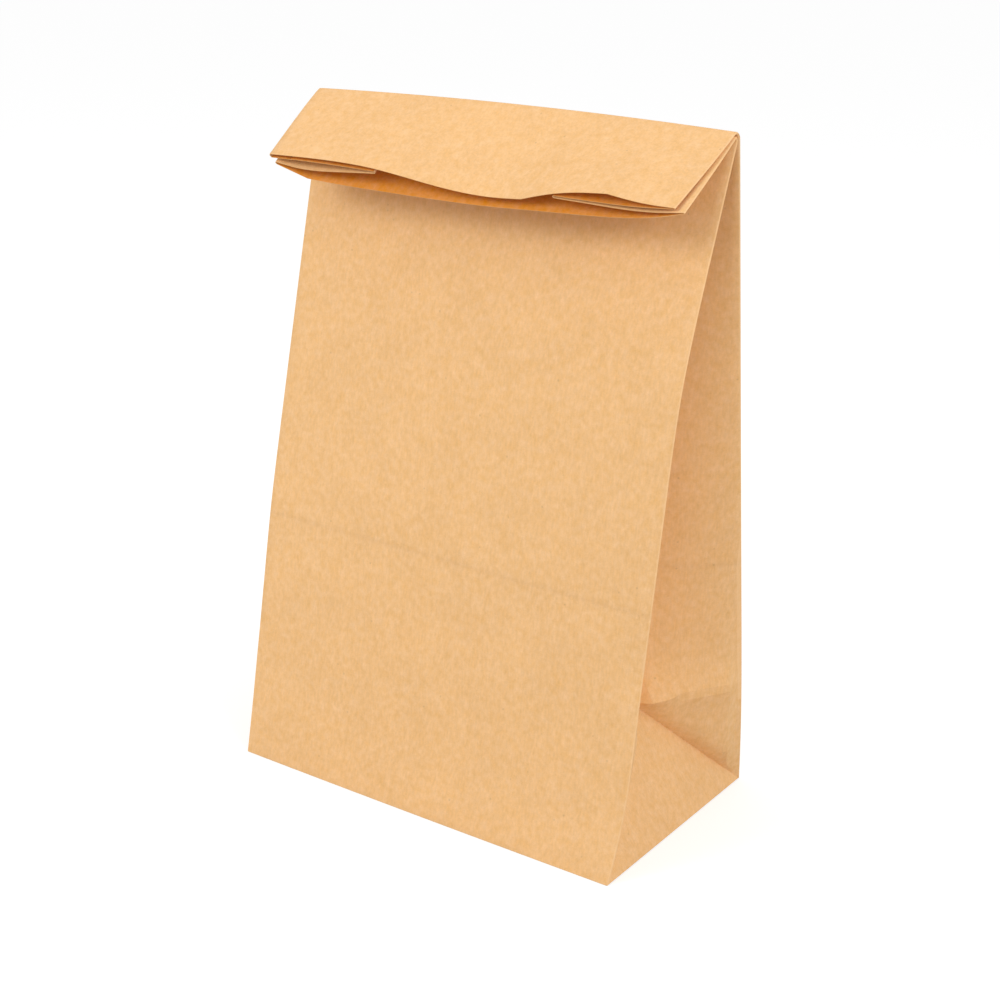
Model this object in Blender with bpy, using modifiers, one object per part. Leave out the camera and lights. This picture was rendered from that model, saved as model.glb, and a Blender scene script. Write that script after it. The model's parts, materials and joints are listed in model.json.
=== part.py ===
"""Brown paper lunch bag: one sheet of kraft paper, folded and glued into a gusseted tube with a
square bottom, standing open at the base, pressed flat at the top and folded over once to the front.

Metres, +Z up. The front faces -Y. The origin is the middle of the footprint, on the floor.
"""
from math import asin, atan2, cos, hypot, pi, radians, sin, sqrt

import bmesh
import bpy
from mathutils import Vector

# The standing bag
BAG_WIDTH = 0.1544  # across the ridge, where the tube is pressed flat
BELLY_TUCK = 0.0046  # how much narrower the tube stands half a gusset's width up
BASE_TUCK = 0.0064  # the same at the bottom folds
FRONT_MOUTH_TUCK = 0.0032  # how much narrower the wavy mouth is in the front ply
BACK_MOUTH_TUCK = 0.0049  # the same in the back ply
GUSSET_WIDTH = 0.0900  # front to back at the bottom
BODY_LENGTH = 0.2285  # paper from the bottom fold to the ridge
FRONT_FLAP = 0.0330  # paper of the front ply past the ridge
BACK_FLAP = 0.0327  # paper of the back ply past the ridge
GUSSET_FLAP = 0.0325  # paper of the gusset plies past the ridge, at their centre fold
FLAP_DROP = radians(34.9)  # the flap below the horizontal
RIDGE_BOW = 0.0014  # the middle of the ridge above its ends
RIDGE_RISE = 0.0007  # the right end of the ridge above the middle, and the left end below it
FRONT_SLIDE = 0.0017  # how far right of the middle the front ply lies at the mouth
BACK_SLIDE = -0.0004  # the same of the back ply
BOTTOM_BOW = 0.0004  # the middle of the bottom's front fold in front of its ends
TRIANGLE_TIP = radians(30.7)  # a gusset's bottom triangle tips in from upright by this
CREASE_DROP = 0.0036  # how much below the corner point's level of paper the back crease lies

# How far the panels lean in from upright: (length of paper from the bottom fold, angle). What the
# ridge needs besides is added all along.
FRONT_LEFT_LEAN = (
    (0.006, radians(3.0)), (0.030, radians(0.0)), (0.084, radians(0.0)), (0.096, radians(3.0)),
)
FRONT_RIGHT_LEAN = (
    (0.010, radians(15.0)), (0.038, radians(3.0)), (0.142, radians(3.0)), (0.170, radians(15.3)),
)
BACK_LEAN = ((0.040, radians(0.0)), (0.050, radians(2.0)))

# The paper and its folds
PAPER = 0.00015  # thickness of one ply
PLY_PITCH = 0.0007  # from ply to ply where the neck is pressed flat
FOLD_RADIUS = 0.0005  # inside the ridge

# The glued bottom
BOTTOM_OVERLAP = 0.022  # where the back flap is glued over the front one

# The mouth, as heights off the flap's own plane: (share of the half width, height)
FRONT_MOUTH = (
    (-1.00, -0.0020), (-0.93, -0.0052), (-0.82, -0.0068), (-0.60, -0.0072), (0.00, -0.0070),
    (0.30, -0.0055), (0.65, -0.0036), (0.85, -0.0014), (0.95, 0.0008), (1.00, 0.0022),
)
BACK_MOUTH = (
    (-1.00, 0.0019), (-0.67, 0.0029), (-0.42, 0.0022), (-0.16, -0.0013), (0.05, -0.0030),
    (0.27, -0.0020), (0.46, 0.0028), (0.70, 0.0056), (0.87, 0.0034), (1.00, 0.0037),
)
# The gusset plies there: (share of the way in from the edge fold, height)
LEFT_INNER_MOUTH = ((0.00, -0.0010), (0.22, -0.0027), (0.42, -0.0026), (0.70, -0.0014), (1.00, -0.0002))
LEFT_OUTER_MOUTH = ((0.00, 0.0005), (0.50, 0.0009), (1.00, 0.0005))
RIGHT_INNER_MOUTH = ((0.00, 0.0027), (0.30, 0.0005), (0.60, 0.0004), (1.00, 0.0006))
RIGHT_OUTER_MOUTH = ((0.00, 0.0032), (0.30, 0.0018), (0.60, 0.0014), (1.00, 0.0013))

# How finely the sheet is cut into faces
PANEL_STEPS = 14  # across the front, and across the back
GUSSET_STEPS = 5  # across half a gusset, and up to the gusset's corner point
CREASE_STEPS = 3  # from there up to the front crease
BODY_STEPS = 8  # from the crease up to the ridge
BEND_STEPS = 5  # round the ridge
FLAP_STEPS = 5  # from the ridge to the mouth
PATH_STEPS = 240  # along a panel seen from the side

STACK = 3 * PLY_PITCH  # four plies, middle to middle
HALF_GUSSET = GUSSET_WIDTH / 2
STRAIGHT_HALF = HALF_GUSSET - PLY_PITCH  # half a gusset between its folds
FLOOR = 2 * PAPER  # the two glued flaps lie below the bottom fold
BELLY_WIDTH = BAG_WIDTH - BELLY_TUCK
BASE_WIDTH = BAG_WIDTH - BASE_TUCK
CREASE_LENGTH = HALF_GUSSET - CREASE_DROP
PANEL_RUN = (GUSSET_WIDTH - STACK) / 2  # how far in a panel is at the ridge
RIDGE_HEIGHT = sqrt(BODY_LENGTH ** 2 - PANEL_RUN ** 2)


def lerp(a, b, share):
    return a + (b - a) * share


def smooth_through(stations, at):
    """The height at one place of a smooth curve through (place, height) stations."""
    last = len(stations) - 1
    i = 0
    while i < last - 1 and at > stations[i + 1][0]:
        i += 1
    (x0, y0), (x1, y1) = stations[i], stations[i + 1]

    def slope(k):
        a, b = stations[max(k - 1, 0)], stations[min(k + 1, last)]
        return (b[1] - a[1]) / (b[0] - a[0])

    t = min(max((at - x0) / (x1 - x0), 0.0), 1.0)
    run = x1 - x0
    rise = y1 - y0
    m0, m1 = slope(i) * run, slope(i + 1) * run
    return y0 + m0 * t + (3 * rise - 2 * m0 - m1) * t * t + (m0 + m1 - 2 * rise) * t ** 3


def straight_through(stations, at):
    """The value at one place of straight runs through (place, value) stations."""
    value = stations[0][1]
    for (x0, y0), (x1, y1) in zip(stations, stations[1:]):
        if at > x0:
            value = lerp(y0, y1, min((at - x0) / (x1 - x0), 1.0))
    return value


def panel_path(leans):
    """A panel seen from the side: how far in and how high it is at a length of paper."""
    step = BODY_LENGTH / PATH_STEPS
    turns = [straight_through(leans, (k + 0.5) * step) for k in range(PATH_STEPS)]
    aside = sum(sin(turn) for turn in turns) * step
    upward = sum(cos(turn) for turn in turns) * step
    added = asin(PANEL_RUN / hypot(aside, upward)) - atan2(aside, upward)
    stretch = RIDGE_HEIGHT / (hypot(aside, upward) * cos(asin(PANEL_RUN / hypot(aside, upward))))
    points = [(0.0, 0.0)]
    for turn in turns:
        run, rise = points[-1]
        points.append((run + step * sin(turn + added), rise + step * cos(turn + added) * stretch))

    def at(s):
        k = min(int(s / step), PATH_STEPS - 1)
        (x0, z0), (x1, z1) = points[k], points[k + 1]
        share = s / step - k
        return lerp(x0, x1, share), lerp(z0, z1, share)

    return at


front_paths = {-1: panel_path(FRONT_LEFT_LEAN), 1: panel_path(FRONT_RIGHT_LEAN)}
back_path = panel_path(BACK_LEAN)


def back_length(s):
    """The back's length of paper on the level of a length s at the front."""
    if s < HALF_GUSSET:
        return CREASE_LENGTH * s / HALF_GUSSET
    return lerp(CREASE_LENGTH, BODY_LENGTH, (s - HALF_GUSSET) / (BODY_LENGTH - HALF_GUSSET))


def ridge_lift(x, share):
    """The ridge is bowed up in its middle and a little higher at the right; it fades down the body."""
    across = 2 * x / BAG_WIDTH
    return (RIDGE_BOW * (1 - across ** 2) + RIDGE_RISE * across) * share ** 4


def tube_width(s):
    if s < HALF_GUSSET:
        return lerp(BELLY_WIDTH, BASE_WIDTH, (1 - s / HALF_GUSSET) ** 2)
    return lerp(BELLY_WIDTH, BAG_WIDTH, (s - HALF_GUSSET) / (BODY_LENGTH - HALF_GUSSET))


class Section:
    """One row of the tube: where its folds are, on one level of the body."""

    def __init__(self, s):
        self.length = s
        self.share = s / BODY_LENGTH
        self.half = tube_width(s) / 2
        self.bow = BOTTOM_BOW * max(1 - s / GUSSET_WIDTH, 0.0) ** 2
        back_in, self.back_z = back_path(back_length(s))
        self.back_y = HALF_GUSSET - back_in
        self.climb = (s - HALF_GUSSET) / (BODY_LENGTH - HALF_GUSSET)
        self.front_y = {}
        self.front_z = {}
        for side, path in front_paths.items():
            front_in, self.front_z[side] = path(s)
            self.front_y[side] = front_in - HALF_GUSSET

    def point(self, x, y, z):
        return Vector((x, y, z + FLOOR + ridge_lift(x, self.share)))

    def fold(self, side):
        """The height of the centre fold, how far in it is, and how wide the turn of paper there is.

        The gusset's front half doesn't stretch, which sets how far in its fold lies. The corner
        point, where the two diagonal folds meet, is the tip of the triangle below it.
        """
        height = lerp(HALF_GUSSET * cos(TRIANGLE_TIP), RIDGE_HEIGHT, self.climb)
        across = (self.back_y - self.front_y[side] - STACK) / 2
        drop = self.front_z[side] - height
        push = sqrt(max(STRAIGHT_HALF ** 2 - across ** 2 - drop ** 2, 0.0))
        if self.length <= HALF_GUSSET:
            push = self.length * sin(TRIANGLE_TIP)
        return height, push, push / STRAIGHT_HALF * PLY_PITCH / 2

    def edge_folds(self, side):
        """Front and back edge folds of one side, each as middle and gusset point."""
        x = side * self.half
        beside = x - side * self.fold(side)[2]
        front_y, front_z = self.front_y[side], self.front_z[side]
        front = (
            self.point(x, front_y + PLY_PITCH / 2, front_z),
            self.point(beside, front_y + PLY_PITCH, front_z),
        )
        back = (
            self.point(x, self.back_y - PLY_PITCH / 2, self.back_z),
            self.point(beside, self.back_y - PLY_PITCH, self.back_z),
        )
        return front, back

    def centre_fold(self, side):
        """The gusset's inner fold of one side, as front, middle and back point."""
        height, push, turn = self.fold(side)
        x = side * (self.half - push)
        y = (self.front_y[side] + self.back_y) / 2
        beside = x + side * turn
        return (
            self.point(beside, y - PLY_PITCH / 2, height),
            self.point(x, y, height),
            self.point(beside, y + PLY_PITCH / 2, height),
        )

    def front(self):
        """The front panel's points, from its left edge fold to its right one."""
        points = []
        for k in range(PANEL_STEPS + 1):
            share = k / PANEL_STEPS
            bow = self.bow * (1 - (2 * share - 1) ** 2)
            y = lerp(self.front_y[-1], self.front_y[1], share) - bow
            z = lerp(self.front_z[-1], self.front_z[1], share)
            points.append(self.point(self.across(share), y, z))
        return points

    def back(self):
        return [
            self.point(self.across(k / PANEL_STEPS), self.back_y, self.back_z)
            for k in range(PANEL_STEPS + 1)
        ]

    def across(self, share):
        reach = self.half - PLY_PITCH / 2
        return lerp(-reach, reach, share)


def between(start, end, steps):
    """Points from start to end, both included."""
    return [start.lerp(end, k / steps) for k in range(steps + 1)]


def gusset_above(section, side):
    """The gusset from its front edge fold to its back one, above its corner point."""
    (front_middle, front), (back_middle, back) = section.edge_folds(side)
    inner_front, inner, inner_back = section.centre_fold(side)
    return (
        [front_middle] + between(front, inner_front, GUSSET_STEPS) + [inner]
        + between(inner_back, back, GUSSET_STEPS) + [back_middle]
    )


def gusset_below(row, side):
    """The same below the corner point, where two diagonal folds rise from the bottom corners to it."""
    section = Section(HALF_GUSSET * row / GUSSET_STEPS)
    base = Section(0.0)
    corner_point = Section(HALF_GUSSET).centre_fold(side)
    (front_middle, front), (back_middle, back) = section.edge_folds(side)
    (_, front_corner), (_, back_corner) = base.edge_folds(side)
    share = row / GUSSET_STEPS
    front_diagonal = front_corner.lerp(corner_point[0], share)
    back_diagonal = back_corner.lerp(corner_point[2], share)
    step = STRAIGHT_HALF / GUSSET_STEPS
    whole = 2 * STRAIGHT_HALF + PLY_PITCH
    places = [k * step for k in range(GUSSET_STEPS + 1)]
    places = places + [whole / 2] + [whole - place for place in reversed(places)]
    fold = row * step
    points = []
    for place in places:
        if place < fold:
            points.append(front.lerp(front_diagonal, place / fold))
        elif place > whole - fold:
            points.append(back.lerp(back_diagonal, (whole - place) / fold))
        else:
            points.append(front_diagonal.lerp(back_diagonal, (place - fold) / (whole - 2 * fold)))
    return [front_middle] + points + [back_middle]


def body_row(s, row=None):
    """A closed loop of points: front from left to right, right gusset, back, left gusset."""
    section = Section(s)
    sides = [gusset_above(section, side) if row is None else gusset_below(row, side) for side in (1, -1)]
    return section.front() + sides[0] + section.back()[::-1] + sides[1][::-1]


class Neck:
    """The four plies past the top of the body: round the ridge, then down the flap to the mouth."""

    def __init__(self):
        top = Section(BODY_LENGTH)
        self.push = top.fold(1)[1]
        self.centre_y = top.front_y[1] - FOLD_RADIUS
        self.centre_z = RIDGE_HEIGHT + FLOOR
        self.turn_back = pi / 2 + FLAP_DROP

    def place(self, x, height, angle, down, along):
        """A point at a height off the front ply's plane, after a turn and a length of paper."""
        out = FOLD_RADIUS + height
        y = self.centre_y + out * cos(angle) - along * sin(angle)
        z = self.centre_z + out * sin(angle) + along * cos(angle)
        return Vector((x, y, z + ridge_lift(x, 1.0 - down)))

    def row(self, angle, down):
        """One loop of points, at a share down from the ridge to the mouth."""
        inner_x = BAG_WIDTH / 2 - self.push + PLY_PITCH / 2
        front_reach = (BAG_WIDTH - FRONT_MOUTH_TUCK * down - PLY_PITCH) / 2
        back_reach = (BAG_WIDTH - BACK_MOUTH_TUCK * down - PLY_PITCH) / 2
        front_slide = FRONT_SLIDE * down
        back_slide = BACK_SLIDE * down

        def panel(stations, flat, length, reach, slide):
            points = []
            for k in range(PANEL_STEPS + 1):
                across = 2 * k / PANEL_STEPS - 1
                height = lerp(flat, smooth_through(stations, across), down)
                points.append(self.place(across * reach + slide, height, angle, down, down * length))
            return points

        def gusset(side, inner_stations, outer_stations, front_edge, back_edge):
            def ply(stations, flat, length, reach, slide):
                points = []
                for k in range(GUSSET_STEPS + 1):
                    share = k / GUSSET_STEPS
                    height = lerp(flat, smooth_through(stations, share), down)
                    x = lerp(side * reach + slide, side * inner_x, share)
                    along = down * lerp(length, GUSSET_FLAP, share)
                    points.append(self.place(x, height, angle, down, along))
                return points

            inner = ply(inner_stations, PLY_PITCH, FRONT_FLAP, front_reach, front_slide)
            outer = ply(outer_stations, 2 * PLY_PITCH, BACK_FLAP, back_reach, back_slide)
            nudge = Vector((side * PLY_PITCH / 2, 0, 0))
            front_middle = front_edge.lerp(inner[0], 0.5) + nudge
            back_middle = back_edge.lerp(outer[0], 0.5) + nudge
            middle = inner[-1].lerp(outer[-1], 0.5) - nudge
            return [front_middle] + inner + [middle] + outer[::-1] + [back_middle]

        front = panel(FRONT_MOUTH, 0.0, FRONT_FLAP, front_reach, front_slide)
        back = panel(BACK_MOUTH, STACK, BACK_FLAP, back_reach, back_slide)
        right = gusset(1, RIGHT_INNER_MOUTH, RIGHT_OUTER_MOUTH, front[-1], back[-1])
        left = gusset(-1, LEFT_INNER_MOUTH, LEFT_OUTER_MOUTH, front[0], back[0])
        return front + right + back[::-1] + left[::-1]


def sheet_rows():
    """Every loop of the tube, from the bottom fold to the mouth."""
    rows = [body_row(HALF_GUSSET * row / GUSSET_STEPS, row) for row in range(GUSSET_STEPS)]
    for k in range(CREASE_STEPS):
        rows.append(body_row(lerp(HALF_GUSSET, GUSSET_WIDTH, k / CREASE_STEPS)))
    for k in range(BODY_STEPS + 1):
        rows.append(body_row(lerp(GUSSET_WIDTH, BODY_LENGTH, k / BODY_STEPS)))
    neck = Neck()
    for k in range(1, BEND_STEPS + 1):
        rows.append(neck.row(neck.turn_back * k / BEND_STEPS, 0.0))
    for k in range(1, FLAP_STEPS + 1):
        rows.append(neck.row(neck.turn_back, k / FLAP_STEPS))
    return rows


# Places in a loop, in its own order
FRONT_RIGHT = PANEL_STEPS + 1  # middle of the front right edge fold
SIDE_COUNT = 2 * GUSSET_STEPS + 5
BACK_RIGHT = FRONT_RIGHT + SIDE_COUNT - 1
BACK_LEFT = BACK_RIGHT + PANEL_STEPS + 2
LOOP_COUNT = BACK_LEFT + SIDE_COUNT
SEAM = BACK_LEFT + 1  # the sheet's glued lap, on the left gusset along the back edge fold


def add_wall(mesh, rows):
    """Faces from loop to loop. Those that a diagonal fold crosses are two triangles."""
    seam = mesh.faces.layers.int["seam"]
    for i, (lower, upper) in enumerate(zip(rows, rows[1:])):
        rising = {FRONT_RIGHT + 1 + i, BACK_LEFT + 1 + i} if i < GUSSET_STEPS else set()
        falling = {BACK_RIGHT - 2 - i, LOOP_COUNT - 3 - i} if i < GUSSET_STEPS else set()
        for j in range(LOOP_COUNT):
            k = (j + 1) % LOOP_COUNT
            a, b, c, d = lower[j], lower[k], upper[k], upper[j]
            if j in rising:
                outlines = (a, b, c), (a, c, d)
            elif j in falling:
                outlines = (a, b, d), (b, c, d)
            else:
                outlines = ((a, b, c, d),)
            for outline in outlines:
                mesh.faces.new(outline)[seam] = j == SEAM


def add_bottom(mesh, loop):
    """The bottom as its folds and glued edges divide it: two end triangles, and two flaps that overlap."""
    point_x = BASE_WIDTH / 2 - HALF_GUSSET
    lap = BOTTOM_OVERLAP / 2
    corners = [mesh.verts.new((x, y, FLOOR)) for x, y in (
        (point_x, 0.0), (point_x - lap, lap), (lap - point_x, lap),
        (-point_x, 0.0), (lap - point_x, -lap), (point_x - lap, -lap),
    )]
    right, back_right, back_left, left, front_left, front_right = corners
    for tip, edge in ((right, loop[FRONT_RIGHT:BACK_RIGHT + 1]), (left, loop[BACK_LEFT:])):
        for a, b in zip(edge, edge[1:]):
            mesh.faces.new((tip, b, a))
    front = [loop[-1]] + loop[:FRONT_RIGHT + 1] + [right, front_right, front_left, left]
    back = loop[BACK_RIGHT:BACK_LEFT + 1] + [left, back_left, back_right, right]
    plies = mesh.faces.layers.int["plies"]
    for outline, count in ((front, 1), (back, 1), (corners, 2)):
        mesh.faces.new(outline[::-1])[plies] = count


def make_sheet():
    """The whole bag as one open surface, its outer face, with none of the paper's thickness yet."""
    mesh = bmesh.new()
    mesh.faces.layers.int.new("plies")
    mesh.faces.layers.int.new("seam")
    rows = [[mesh.verts.new(point) for point in row] for row in sheet_rows()]
    add_wall(mesh, rows)
    add_bottom(mesh, rows[0])
    data = bpy.data.meshes.new("paper_sheet")
    mesh.to_mesh(data)
    mesh.free()
    return data


def thickened(sheet):
    """The sheet as a closed body, one ply thick inwards."""
    holder = bpy.data.objects.new("paper_sheet", sheet)
    bpy.context.scene.collection.objects.link(holder)
    wall = holder.modifiers.new("paper", "SOLIDIFY")
    wall.thickness = PAPER
    wall.offset = -1.0
    wall.use_even_offset = True
    evaluated = holder.evaluated_get(bpy.context.evaluated_depsgraph_get())
    body = bpy.data.meshes.new_from_object(evaluated)
    bpy.data.objects.remove(holder, do_unlink=True)
    return body


def grow(mesh, faces):
    """Raises faces by one ply and returns the raised ones."""
    grown = bmesh.ops.extrude_face_region(mesh, geom=faces)["geom"]
    raised = [item for item in grown if isinstance(item, bmesh.types.BMFace)]
    bmesh.ops.delete(mesh, geom=faces, context="FACES")
    for face in raised:
        face.normal_update()
    normals = {}
    for face in raised:
        for vert in face.verts:
            normals[vert] = normals.get(vert, Vector()) + face.normal
    for vert, normal in normals.items():
        vert.co += PAPER * normal.normalized()
    return raised


def lay_plies(body, outer_count):
    """The second plies on the outside: the lap of the tube's seam, and the glued bottom flaps.

    The flaps are a ply below the folded ends, and two where they overlap.
    """
    mesh = bmesh.new()
    mesh.from_mesh(body)
    seam = mesh.faces.layers.int["seam"]
    plies = mesh.faces.layers.int["plies"]
    mesh.faces.ensure_lookup_table()
    outer = mesh.faces[:outer_count]
    lap = [face for face in outer if face[seam]]
    flaps = [face for face in outer if face[plies]]
    grow(mesh, lap)
    raised = grow(mesh, flaps)
    grow(mesh, [face for face in raised if face[plies] == 2])
    mesh.to_mesh(body)
    mesh.free()


def kraft_paper():
    material = bpy.data.materials.new("kraft_paper")
    material.use_nodes = True
    shader = material.node_tree.nodes["Principled BSDF"]
    shader.inputs["Base Color"].default_value = (0.80, 0.48, 0.22, 1.0)
    shader.inputs["Roughness"].default_value = 0.85
    shader.inputs["Metallic"].default_value = 0.0
    return material


def build():
    for old in list(bpy.data.objects):
        bpy.data.objects.remove(old, do_unlink=True)
    collection = bpy.data.collections.new("paper_lunch_bag")
    bpy.context.scene.collection.children.link(collection)
    sheet = make_sheet()
    body = thickened(sheet)
    lay_plies(body, len(sheet.polygons))
    body.materials.append(kraft_paper())
    collection.objects.link(bpy.data.objects.new("paper_bag", body))


build()
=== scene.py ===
import json
from math import exp, pi, radians, sin

import bpy
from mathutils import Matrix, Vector

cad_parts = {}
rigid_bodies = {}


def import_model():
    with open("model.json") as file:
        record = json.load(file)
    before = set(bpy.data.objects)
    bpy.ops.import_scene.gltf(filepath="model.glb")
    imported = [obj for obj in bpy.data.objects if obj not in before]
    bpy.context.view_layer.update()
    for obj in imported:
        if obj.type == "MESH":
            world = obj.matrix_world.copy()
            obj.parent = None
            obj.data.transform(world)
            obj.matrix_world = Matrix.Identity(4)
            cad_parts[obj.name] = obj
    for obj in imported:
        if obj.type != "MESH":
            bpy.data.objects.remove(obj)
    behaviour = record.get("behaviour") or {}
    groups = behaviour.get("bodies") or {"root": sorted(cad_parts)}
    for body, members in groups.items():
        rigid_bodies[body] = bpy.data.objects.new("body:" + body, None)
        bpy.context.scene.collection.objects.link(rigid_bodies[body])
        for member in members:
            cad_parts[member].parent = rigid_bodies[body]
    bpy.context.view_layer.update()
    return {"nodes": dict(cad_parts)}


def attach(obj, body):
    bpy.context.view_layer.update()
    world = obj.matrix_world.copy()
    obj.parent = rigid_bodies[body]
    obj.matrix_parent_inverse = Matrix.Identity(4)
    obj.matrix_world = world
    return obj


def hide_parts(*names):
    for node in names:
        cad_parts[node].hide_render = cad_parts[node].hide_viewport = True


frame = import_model()


# Kraft paper, shared by the whole sheet: unbleached pulp, matte, with cloudy fibre clumps, fine
# fibres along and across the sheet, a few dark specks of bark, and the faint imprint of the fold
# that the bag had while it lay flat in its pack, pressed in as relief and darkened along its line as
# painted shade.
class Value:
    """A shader socket that can be added, multiplied and compared like a number."""

    def __init__(self, tree, socket):
        self.tree = tree
        self.socket = socket

    def math(self, operation, *others, clamp=False):
        node = self.tree.nodes.new("ShaderNodeMath")
        node.operation = operation
        node.use_clamp = clamp
        for slot, value in zip(node.inputs, (self, *others)):
            plug(self.tree, value, slot)
        return Value(self.tree, node.outputs[0])

    def flipped(self, operation, other):
        node = self.tree.nodes.new("ShaderNodeMath")
        node.operation = operation
        plug(self.tree, other, node.inputs[0])
        plug(self.tree, self, node.inputs[1])
        return Value(self.tree, node.outputs[0])

    def __add__(self, other):
        return self.math("ADD", other)

    def __radd__(self, other):
        return self.math("ADD", other)

    def __sub__(self, other):
        return self.math("SUBTRACT", other)

    def __rsub__(self, other):
        return self.flipped("SUBTRACT", other)

    def __mul__(self, other):
        return self.math("MULTIPLY", other)

    def __rmul__(self, other):
        return self.math("MULTIPLY", other)

    def __truediv__(self, other):
        return self.math("DIVIDE", other)

    def __rtruediv__(self, other):
        return self.flipped("DIVIDE", other)

    def __gt__(self, other):
        return self.math("GREATER_THAN", other)

    def ramp(self, low, high):
        """0 at low and 1 at high, smooth between them."""
        share = ((self - low) / (high - low)).math("MULTIPLY", 1.0, clamp=True)
        return share * share * (3.0 - 2.0 * share)


def plug(tree, value, slot):
    if isinstance(value, Value):
        tree.links.new(value.socket, slot)
    else:
        slot.default_value = value


def add_node(tree, kind, settings=None, **values):
    """A node with its settings first, then its inputs by name, with _ for a space."""
    node = tree.nodes.new(kind)
    for name, value in (settings or {}).items():
        setattr(node, name, value)
    for name, value in values.items():
        plug(tree, value, node.inputs[name.replace("_", " ")])
    return node


IMPRINT_HEIGHT = 0.0855
IMPRINT_WIDTH = 0.0011


def paper(name, tint, grain):
    """Matte paper. The tint is its linear colour, and grain is how strongly the fibres show."""
    material = bpy.data.materials.new(name)
    material.use_nodes = True
    tree = material.node_tree
    shader = tree.nodes["Principled BSDF"]
    place = Value(tree, add_node(tree, "ShaderNodeTexCoord").outputs["Object"])
    parts = add_node(tree, "ShaderNodeSeparateXYZ", Vector=place)
    height = Value(tree, parts.outputs["Z"])

    def cloud(scale, detail, stretch=1.0):
        """Noise about 0, with scale patches to the metre, squeezed upwards by the stretch."""
        squeezed = add_node(tree, "ShaderNodeMapping", Vector=place, Scale=(1.0, 1.0, stretch))
        node = add_node(
            tree, "ShaderNodeTexNoise", Vector=Value(tree, squeezed.outputs[0]),
            Scale=scale, Detail=detail, Roughness=0.6,
        )
        return Value(tree, node.outputs["Fac"]) - 0.5

    clumps = cloud(420.0, 3.0)
    drifts = cloud(70.0, 2.0)
    fibres = cloud(1500.0, 2.0, 0.22)
    across = cloud(1300.0, 2.0, 4.0)

    # One cell in ten has a speck at its middle.
    flecks = add_node(tree, "ShaderNodeTexVoronoi", Vector=place, Scale=330.0, Randomness=1.0)
    chance = add_node(tree, "ShaderNodeSeparateColor", Color=Value(tree, flecks.outputs["Color"]))
    near = 1.0 - Value(tree, flecks.outputs["Distance"]).ramp(0.05, 0.16)
    speck = near * (Value(tree, chance.outputs[0]) > 0.90)

    imprint = (height - IMPRINT_HEIGHT + cloud(30.0, 1.0) * 0.0010) / IMPRINT_WIDTH
    groove = 1.0 / (1.0 + imprint * imprint)

    shade = 1.0 + grain * (0.34 * clumps + 0.22 * drifts + 0.42 * fibres + 0.34 * across)
    # The imprint line is darkened a little: painted shade in its crease.
    shade = shade - grain * 0.30 * speck - 0.045 * groove
    colour = add_node(tree, "ShaderNodeVectorMath", {"operation": "SCALE"}, Vector=tint, Scale=shade)
    warm = add_node(
        tree, "ShaderNodeHueSaturation", Color=Value(tree, colour.outputs[0]),
        Saturation=1.0 - 0.5 * grain * clumps, Fac=1.0,
    )
    tree.links.new(warm.outputs["Color"], shader.inputs["Base Color"])
    shader.inputs["Roughness"].default_value = 0.82
    shader.inputs["Specular IOR Level"].default_value = 0.22

    # The relief is in metres.
    relief = grain * (0.000040 * clumps + 0.000035 * fibres + 0.000035 * across) - 0.00012 * groove
    bump = add_node(tree, "ShaderNodeBump", Height=relief, Distance=1.0, Strength=1.0)
    tree.links.new(bump.outputs["Normal"], shader.inputs["Normal"])
    return material


kraft = paper("kraft_paper_fibres", (0.83, 0.500, 0.228), 0.50)
# The inside finish is a deeper, more saturated brown than the outer skin: painted shade for the inside
# of the bag and its mouth, where only bounced light reaches.
inside_painted_shade = paper("kraft_paper_inside_painted_shade", (0.78, 0.31, 0.055), 0.50)
cut_edge = paper("kraft_paper_cut_edge", (0.85, 0.50, 0.20), 0.2)
# The fold finish is lighter than the sheet: painted highlight along the turns of the folds, with a
# little wear.
worn_fold_and_highlight = paper("kraft_paper_worn_fold_and_highlight", (0.88, 0.55, 0.27), 0.3)


# The bag: one sheet of kraft paper, glued into a tube, creased into gussets and folded shut at its
# square bottom. It starts from the outer skin of the solid, is made smooth between its folds, swells
# a little in the photographed gusset, and gets its thickness and its cut mouth edge.
bag = frame["nodes"]["paper_bag"]
mesh = bag.data.copy()
mesh.transform(bag.matrix_world)
sheet = bpy.data.objects.new("kraft_sheet", mesh)
bpy.context.scene.collection.objects.link(sheet)
bpy.ops.object.select_all(action="DESELECT")
sheet.select_set(True)
bpy.context.view_layer.objects.active = sheet
bpy.context.tool_settings.mesh_select_mode = (True, False, False)
bpy.ops.object.mode_set(mode="EDIT")
bpy.ops.mesh.select_all(action="SELECT")
bpy.ops.mesh.remove_doubles(threshold=1e-6)
bpy.ops.mesh.select_all(action="DESELECT")
bpy.context.tool_settings.mesh_select_mode = (False, False, True)
bpy.ops.object.mode_set(mode="OBJECT")

# The narrow rim of the mouth looks down along the flap. Without it the outer and the inner skin come
# apart, and the outer one, which has the lowest point, is kept.
FLAP_DOWN = Vector((0.0, -0.820, -0.572))
for face in mesh.polygons:
    in_flap = face.center.z > 0.19 and face.center.y < -0.02
    face.select = in_flap and face.normal.dot(FLAP_DOWN) > 0.85
bpy.ops.object.mode_set(mode="EDIT")
bpy.ops.mesh.delete(type="FACE")
bpy.context.tool_settings.mesh_select_mode = (True, False, False)
bpy.ops.mesh.select_all(action="DESELECT")
bpy.ops.object.mode_set(mode="OBJECT")
min(mesh.vertices, key=lambda vertex: vertex.co.z).select = True
bpy.ops.object.mode_set(mode="EDIT")
bpy.ops.mesh.select_linked()
bpy.ops.mesh.select_all(action="INVERT")
bpy.ops.mesh.delete(type="VERT")
bpy.ops.mesh.select_all(action="SELECT")
bpy.ops.mesh.tris_convert_to_quads(face_threshold=radians(12), shape_threshold=radians(50))

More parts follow.
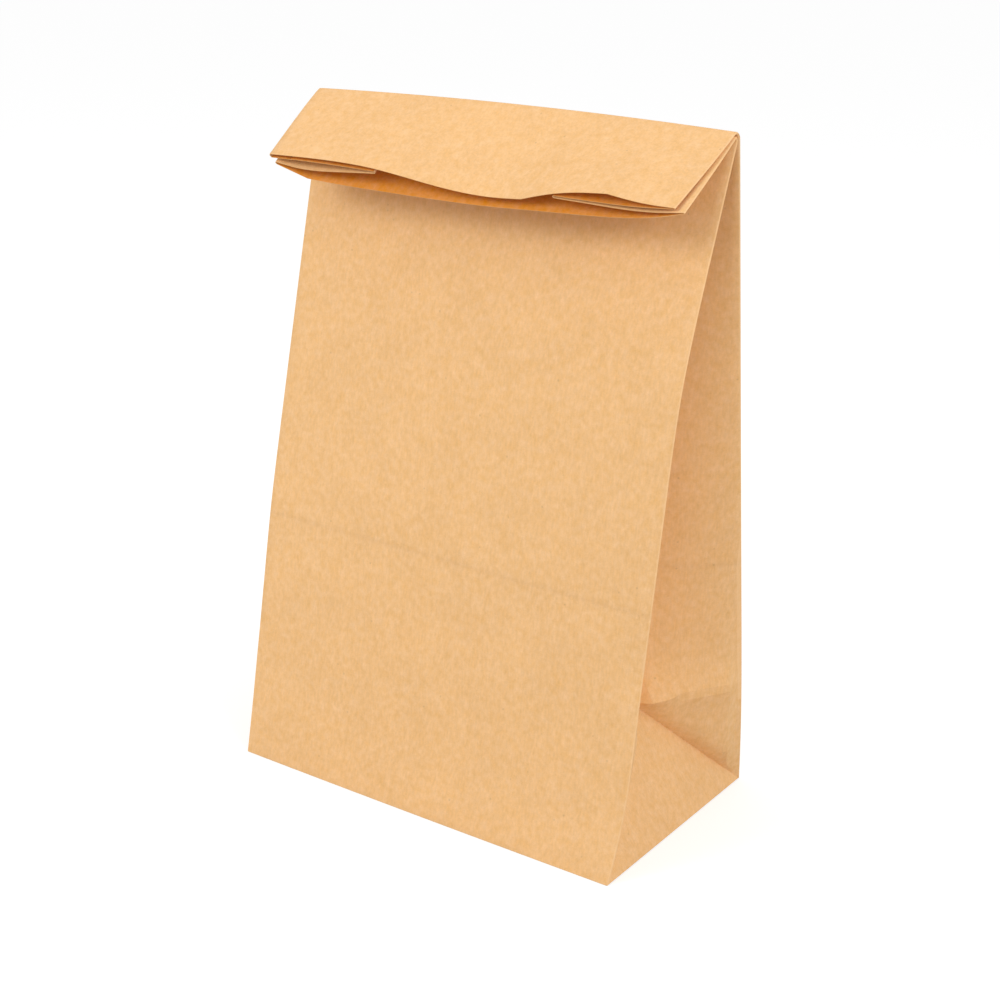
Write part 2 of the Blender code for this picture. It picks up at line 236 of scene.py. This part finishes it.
# The folds stay crisp, and so does all of the flat foot but its photographed right corner.
FOOT_HEIGHT = 0.020
CORNER_SIDE = 0.045
bpy.context.tool_settings.mesh_select_mode = (False, True, False)
bpy.ops.mesh.select_all(action="DESELECT")
bpy.ops.mesh.edges_select_sharp(sharpness=radians(12))
bpy.ops.object.mode_set(mode="OBJECT")
for edge in mesh.edges:
    tips = [mesh.vertices[index].co for index in edge.vertices]
    if all(tip.z < FOOT_HEIGHT and tip.x < CORNER_SIDE for tip in tips):
        edge.select = True
bpy.ops.object.mode_set(mode="EDIT")
bpy.ops.transform.edge_crease(value=1.0)
bpy.ops.object.mode_set(mode="OBJECT")

# The turns of the edge folds and of the top, under a millimetre wide, are a little lighter: a little
# wear, and a painted highlight where the rounded folds catch the light.
FOLD_WIDTH = 0.0009
OUTER, INNER, RIM, WORN_AND_HIGHLIGHT = range(4)
mesh.materials.clear()
for finish in (kraft, inside_painted_shade, cut_edge, worn_fold_and_highlight):
    mesh.materials.append(finish)
for face in mesh.polygons:
    corners = [mesh.vertices[index].co for index in face.vertices]
    longest = max((a - b).length for a, b in zip(corners, corners[1:] + corners[:1]))
    at_side = abs(face.center.x) > 0.0735 and max(face.center.z, -face.center.y) > 0.030
    on_fold = at_side or face.center.z > 0.200
    face.material_index = WORN_AND_HIGHLIGHT if on_fold and face.area / longest < FOLD_WIDTH else OUTER

smooth = sheet.modifiers.new("smooth", "SUBSURF")
smooth.levels = 2
smooth.render_levels = 2
bpy.ops.object.modifier_apply(modifier="smooth")


def rise(value, low, high):
    share = min(max((value - low) / (high - low), 0.0), 1.0)
    return share * share * (3.0 - 2.0 * share)


# Between its folds each half of the gusset springs open a little. A cross crease from the corner
# point to the edge fold stands a little proud, and below it the half swells over the diagonal fold
# of the stiff bottom triangle. The front half does all of this less.
GUSSET_BOW = 0.0022
CREASE_LIP = 0.0048
CREASE_REACH = 0.009
FOOT_SWELL = 0.0032
SWELL_REACH = 0.0120
FRONT_SHARE = 0.3
EDGE_SIDE = 0.0740
TRIANGLE_REACH = 0.0221
CORNER_HEIGHT = 0.0390
CORNER_DEPTH = 0.0230
CREASE_FRONT = 0.0442
CREASE_BACK = 0.0410
mesh.update()
moves = []
for vertex in mesh.vertices:
    x, y, z = vertex.co
    if vertex.normal.y * y >= 0.0 or abs(vertex.normal.y) < 0.3 or x < 0.030:
        continue
    edge = EDGE_SIDE + 0.0009 * rise(z, 0.0, 0.045) + 0.0023 * rise(z, 0.045, 0.228)
    depth = CORNER_DEPTH + 0.0213 * max(z - CORNER_HEIGHT, 0.0) / 0.190
    inward = (edge - abs(x)) / depth
    if not 0.0 < inward < 1.0:
        continue
    outer_end = CREASE_BACK if y > 0.0 else CREASE_FRONT
    crease = outer_end * (1.0 - inward) + CORNER_HEIGHT * inward
    diagonal = CORNER_HEIGHT * (EDGE_SIDE - abs(x)) / TRIANGLE_REACH
    ends = rise(inward, 0.0, 0.18) * (1.0 - rise(inward, 0.85, 1.0))
    if z >= crease - 0.0003:
        out = CREASE_LIP * ends * exp(-(z - crease) / CREASE_REACH)
        fade = rise(z, crease, 0.080) * (1.0 - rise(z, 0.165, 0.215))
        out += GUSSET_BOW * sin(pi * inward ** 0.8) * fade
    elif z > diagonal + 0.0004:
        share = (z - diagonal) / (crease - diagonal)
        swell = 1.0 - (1.0 - min((z - diagonal) / SWELL_REACH, 1.0)) ** 2
        out = (FOOT_SWELL * swell * (1.0 - share ** 2) + CREASE_LIP * share ** 3) * ends
    else:
        continue
    moves.append((vertex, vertex.normal * (out if y > 0.0 else FRONT_SHARE * out)))
for vertex, move in moves:
    vertex.co += move
mesh.update()

thickness = sheet.modifiers.new("thickness", "SOLIDIFY")
thickness.thickness = 0.00015
thickness.offset = -1.0
thickness.use_even_offset = True
# The inner skin takes the inside finish, whose deeper brown is painted shade.
thickness.material_offset = INNER
thickness.material_offset_rim = RIM
bpy.ops.object.modifier_apply(modifier="thickness")

# The bag shades smoothly between its folds, but the low creases of the gussets stay sharp.
bpy.ops.object.shade_smooth_by_angle(angle=radians(30))
bpy.ops.object.mode_set(mode="EDIT")
bpy.ops.mesh.select_all(action="DESELECT")
bpy.ops.mesh.edges_select_sharp(sharpness=radians(14))
bpy.ops.object.mode_set(mode="OBJECT")
for edge in mesh.edges:
    middle = (mesh.vertices[edge.vertices[0]].co + mesh.vertices[edge.vertices[1]].co) / 2
    if edge.select and abs(middle.x) > CORNER_SIDE and middle.z < 0.048:
        edge.use_edge_sharp = True
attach(sheet, "root")
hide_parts("paper_bag")


# The studio: a wide pale floor, even light from all round, and three soft boxes, in front to the
# left, to the right and above it. The camera and mirror rays see a white background behind the floor.
def background_rays(tree):
    """1 for the rays that should meet the white background, and 0 for the light on the object."""
    path = add_node(tree, "ShaderNodeLightPath")
    rays = [Value(tree, path.outputs[f"Is {kind} Ray"]) for kind in ("Camera", "Glossy", "Transmission")]
    return (rays[0] + rays[1] + rays[2]).ramp(0.0, 1.0)


bpy.ops.mesh.primitive_plane_add(size=60, location=(0, 0, 0))
floor = bpy.context.object
floor.name = "floor"
pale = bpy.data.materials.new("pale_floor")
pale.use_nodes = True
ground = pale.node_tree
surface = ground.nodes["Principled BSDF"]
surface.inputs["Base Color"].default_value = (0.60, 0.60, 0.60, 1)
surface.inputs["Roughness"].default_value = 1.0
surface.inputs["Specular IOR Level"].default_value = 0.0
surface.inputs["Emission Strength"].default_value = 0.53
plug(ground, background_rays(ground), surface.inputs["Emission Color"])
floor.data.materials.append(pale)

EVEN_LIGHT = 0.75
world = bpy.data.worlds.new("studio")
bpy.context.scene.world = world
world.use_nodes = True
sky = world.node_tree
background = sky.nodes["Background"]
background.inputs["Color"].default_value = (1, 1, 1, 1)
plug(sky, EVEN_LIGHT + background_rays(sky) * (1.0 - EVEN_LIGHT), background.inputs["Strength"])


def soft_box(location, target, size, watts):
    bpy.ops.object.light_add(type="AREA", location=location)
    lamp = bpy.context.object
    lamp.data.shape = "DISK"
    lamp.data.size = size
    lamp.data.energy = watts
    aim = Vector(target) - Vector(location)
    lamp.rotation_euler = aim.to_track_quat("-Z", "Y").to_euler()


soft_box((-0.42, -0.76, 0.62), (0.0, 0.0, 0.16), 0.45, 3.0)
soft_box((1.15, -0.55, 0.75), (0.0, 0.0, 0.16), 0.5, 3.5)
soft_box((0.99, 0.05, 1.11), (0.0, 0.0, 0.12), 0.6, 2.4)

bpy.ops.object.camera_add(
    location=(0.31159, -0.47366, 0.29503),
    rotation=(radians(70.86), radians(-1.972), radians(34.085)),
)
camera = bpy.context.object
camera.data.lens = 64.8
bpy.context.scene.camera = camera
bpy.context.scene.view_settings.view_transform = "Standard"
